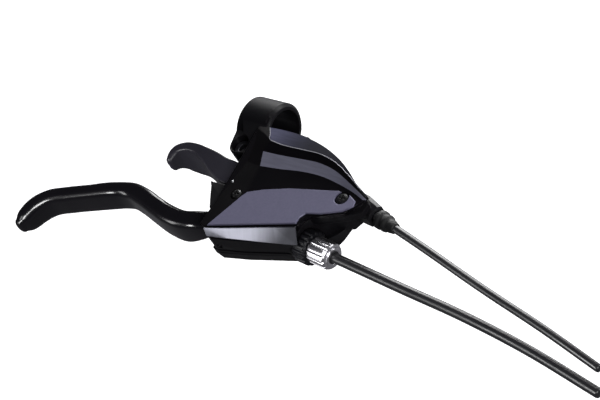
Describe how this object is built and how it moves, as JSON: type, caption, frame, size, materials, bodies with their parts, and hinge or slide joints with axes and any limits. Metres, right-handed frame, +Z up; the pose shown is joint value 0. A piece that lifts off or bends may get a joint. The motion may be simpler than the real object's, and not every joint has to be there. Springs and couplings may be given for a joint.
{
  "type": "combined brake lever and trigger shifter",
  "caption": "Right-hand bicycle brake lever with thumb and finger shift levers, bar clamp, faceted cover, barrel adjuster and two cable casings.",
  "frame": {"origin": "on the clamp band's outboard face, on the rider's side of the bore, 12.5 mm from the handlebar's axis; the bore's centre is at X 9.5 mm, Y -12.5 mm, Z 0", "axes": "+X along the bar towards the middle of the bike, +Y towards the rider, +Z up, square to the plane the brake lever swings in"},
  "size_m": [0.3407, 0.1039, 0.0461],
  "materials": {
    "paint": "satin black paint over cast aluminium",
    "alloy": "gloss black paint over forged alloy",
    "plastic": "matt black moulding",
    "plate": "dark grey metallic paint",
    "silver": "brushed bright",
    "chrome": "polished",
    "steel": "zinc plated",
    "darksteel": "black oxide",
    "rubber": "matt",
    "nylon": "natural",
    "bronze": "plain"
  },
  "bodies": {
    "housing": {"bracket": "paint", "clamp_bolt": "darksteel", "clamp_nut": "steel", "top_cover": "plastic", "name_plate": "plate", "cover_screw_left": "darksteel", "cover_screw_right": "darksteel", "front_trim": "silver", "brake_pivot_pin": "steel", "pivot_clip": "darksteel", "shift_cable_boot": "rubber", "shift_casing_ferrule": "steel", "shift_cable_casing": "rubber", "shift_axle": "steel", "axle_nut": "steel", "axle_washer": "steel", "shift_base_plate": "darksteel", "drum_return_spring": "steel", "lower_cover": "plastic", "lower_cover_screw_a": "darksteel", "lower_cover_screw_b": "darksteel", "hold_pawl_pin": "steel"},
    "brake_lever": {"brake_lever": "alloy", "brake_pivot_bush": "bronze", "brake_cable_nipple": "steel"},
    "brake_wire": {"brake_inner_wire": "steel"},
    "release_lever": {"release_lever": "plastic", "release_pin": "steel"},
    "hold_pawl": {"hold_pawl": "steel"},
    "reach_screw": {"reach_adjust_screw": "darksteel"},
    "lock_ring": {"adjuster_lock_ring": "plastic"},
    "brake_casing": {"brake_casing_ferrule": "darksteel", "brake_cable_casing": "rubber"},
    "barrel_adjuster": {"barrel_adjuster": "chrome"},
    "drum": {"cable_drum": "nylon", "index_ratchet": "steel"},
    "shift_wire": {"shift_inner_wire": "steel"},
    "thumb_lever": {"thumb_lever": "darksteel", "thumb_pad": "plastic", "thumb_pad_screw": "steel", "drive_pawl_pin": "steel"},
    "drive_pawl": {"drive_pawl": "steel"}
  },
  "joints": [
    {"name": "brake_lever_pivot", "type": "hinge", "parent": "housing", "child": "brake_lever", "pos_m": [0.0285, -0.0385, 0], "axis": [0, 0, -1], "range_deg": [0, 16]},
    {"name": "brake_wire_slide", "type": "slide", "parent": "housing", "child": "brake_wire", "axis": [-0.9914, 0.1305, 0], "range_m": [0, 0.0064]},
    {"name": "release_lever_pivot", "type": "hinge", "parent": "housing", "child": "release_lever", "pos_m": [0.0285, -0.0385, 0], "axis": [0, 0, -1], "range_deg": [0, 5]},
    {"name": "hold_pawl_pivot", "type": "hinge", "parent": "housing", "child": "hold_pawl", "pos_m": [0.0361, -0.0435, -0.015], "axis": [0, 0, -1], "range_deg": [0, 10]},
    {"name": "reach_screw_turn", "type": "hinge", "parent": "housing", "child": "reach_screw", "pos_m": [0.0235, -0.0745, -0.0006], "axis": [0, 1, 0], "range_deg": [0, 360]},
    {"name": "lock_ring_turn", "type": "hinge", "parent": "housing", "child": "lock_ring", "pos_m": [0.0675, -0.06642, -0.003], "axis": [0.9914, -0.1305, 0], "continuous": true},
    {"name": "adjuster_travel", "type": "slide", "parent": "housing", "child": "brake_casing", "axis": [0.9914, -0.1305, 0], "range_m": [0, 0.004]},
    {"name": "adjuster_turn", "type": "hinge", "parent": "brake_casing", "child": "barrel_adjuster", "pos_m": [0.0775, -0.06773, -0.003], "axis": [0.9914, -0.1305, 0], "range_deg": [0, 1445]},
    {"name": "drum_turn", "type": "hinge", "parent": "housing", "child": "drum", "pos_m": [0.0555, -0.0445, -0.015], "axis": [0, 0, 1], "range_deg": [0, 100]},
    {"name": "shift_wire_slide", "type": "slide", "parent": "housing", "child": "shift_wire", "axis": [-0.9636, 0.2672, 0], "range_m": [0, 0.0196]},
    {"name": "thumb_lever_pivot", "type": "hinge", "parent": "housing", "child": "thumb_lever", "pos_m": [0.0555, -0.0445, -0.015], "axis": [0, 0, 1], "range_deg": [0, 35]},
    {"name": "drive_pawl_pivot", "type": "hinge", "parent": "thumb_lever", "child": "drive_pawl", "pos_m": [0.05088, -0.05719, -0.015], "axis": [0, 0, -1], "range_deg": [0, 8]}
  ],
  "couplings": [
    {"joint": "brake_wire_slide", "follows": "brake_lever_pivot", "m_per_rad": 0.0226},
    {"joint": "hold_pawl_pivot", "follows": "release_lever_pivot", "ratio": 1.8},
    {"joint": "adjuster_turn", "follows": "adjuster_travel", "rad_per_m": 6283.2},
    {"joint": "shift_wire_slide", "follows": "drum_turn", "m_per_rad": 0.01114}
  ]
}
